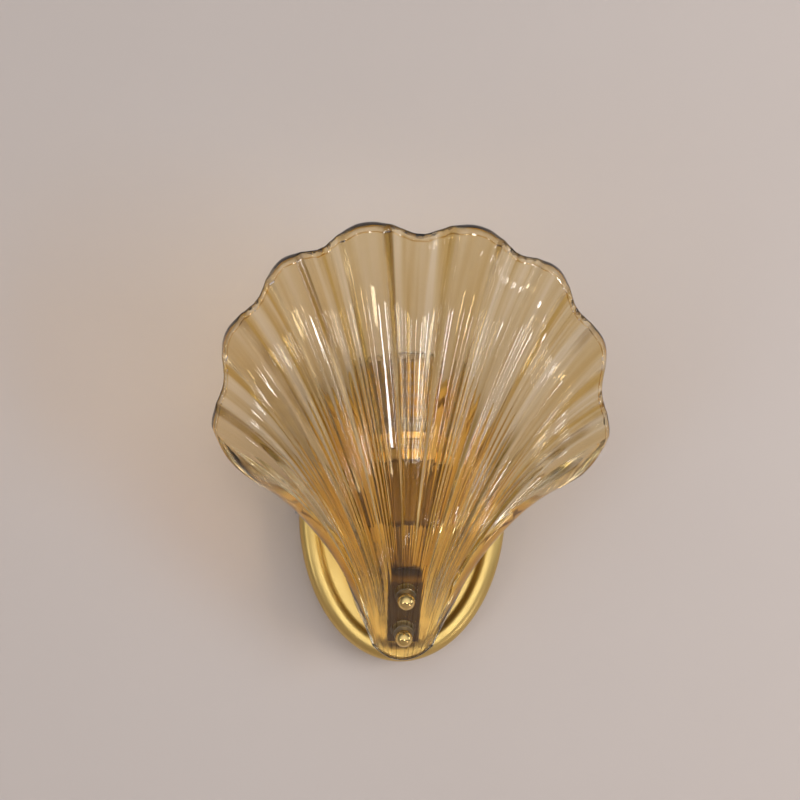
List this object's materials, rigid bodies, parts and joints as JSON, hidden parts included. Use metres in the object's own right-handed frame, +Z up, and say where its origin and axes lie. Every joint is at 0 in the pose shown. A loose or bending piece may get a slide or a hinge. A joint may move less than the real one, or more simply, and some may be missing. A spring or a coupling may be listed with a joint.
{
  "type": "shell wall sconce",
  "caption": "Wall sconce with a ribbed amber pressed glass scallop shade screwed by its neck to a brass arm on an oval backplate, with a screw-in lamp behind the glass.",
  "frame": {"origin": "centre of the backplate's rear face, on the wall", "axes": "+Z up the wall, -Y out into the room, +X to the right as seen from the room"},
  "size_m": [0.2404, 0.1285, 0.2697],
  "materials": {
    "satin_brass": "satin",
    "dark_brass": "satin",
    "polished_brass": "polished",
    "thread_brass": "plain",
    "zinc_steel": "zinc plated",
    "white_plastic": "moulded",
    "porcelain": "glazed",
    "black_insulator": "glossy",
    "led_chips": "glossy",
    "clear_cover": "frosted",
    "amber_glass": "pressed, clear amber",
    "clear_silicone": "translucent",
    "black_rubber": "matte",
    "cable_sheath": "smooth",
    "wire_insulation": "smooth",
    "earth_insulation": "smooth"
  },
  "bodies": {
    "root": {"backplate": "satin_brass", "socket_cup": "satin_brass", "stem_sleeve": "satin_brass", "arm_strip": "dark_brass", "ball_nuts": "polished_brass", "stem_nuts": "thread_brass", "terminal_clamps": "thread_brass", "screw_shell": "thread_brass", "centre_contact": "thread_brass", "wall_crossbar": "zinc_steel", "side_screws": "zinc_steel", "terminal_screws": "zinc_steel", "block_screw": "zinc_steel", "earth_screw": "zinc_steel", "arm_screws": "zinc_steel", "arm_nuts": "zinc_steel", "stem_nipple": "zinc_steel", "shade_screws": "zinc_steel", "terminal_block": "white_plastic", "holder_body": "porcelain", "glass_shade": "amber_glass", "back_washers": "clear_silicone", "front_washers": "clear_silicone", "plate_grommet": "black_rubber", "cup_grommet": "black_rubber", "lamp_cable": "cable_sheath", "supply_wires": "wire_insulation", "holder_wires": "wire_insulation", "earth_wire": "earth_insulation"},
    "lamp_core_line": {"lamp_tip": "zinc_steel", "lamp_insulator": "black_insulator"},
    "lamp": {"lamp_cap": "thread_brass", "lamp_collar": "white_plastic", "lamp_core": "white_plastic", "lamp_chips": "led_chips", "lamp_cover": "clear_cover"}
  },
  "joints": [
    {"name": "lamp_rise", "type": "slide", "parent": "root", "child": "lamp_core_line", "axis": [0, 0, 1], "range_m": [0, 0.0181]},
    {"name": "lamp_turn", "type": "hinge", "parent": "lamp_core_line", "child": "lamp", "pos_m": [0, -0.048, 0.0295], "axis": [0, 0, 1], "range_deg": [0, 1800]}
  ],
  "couplings": [
    {"joint": "lamp_rise", "follows": "lamp_turn", "m_per_rad": 0.00057614}
  ]
}
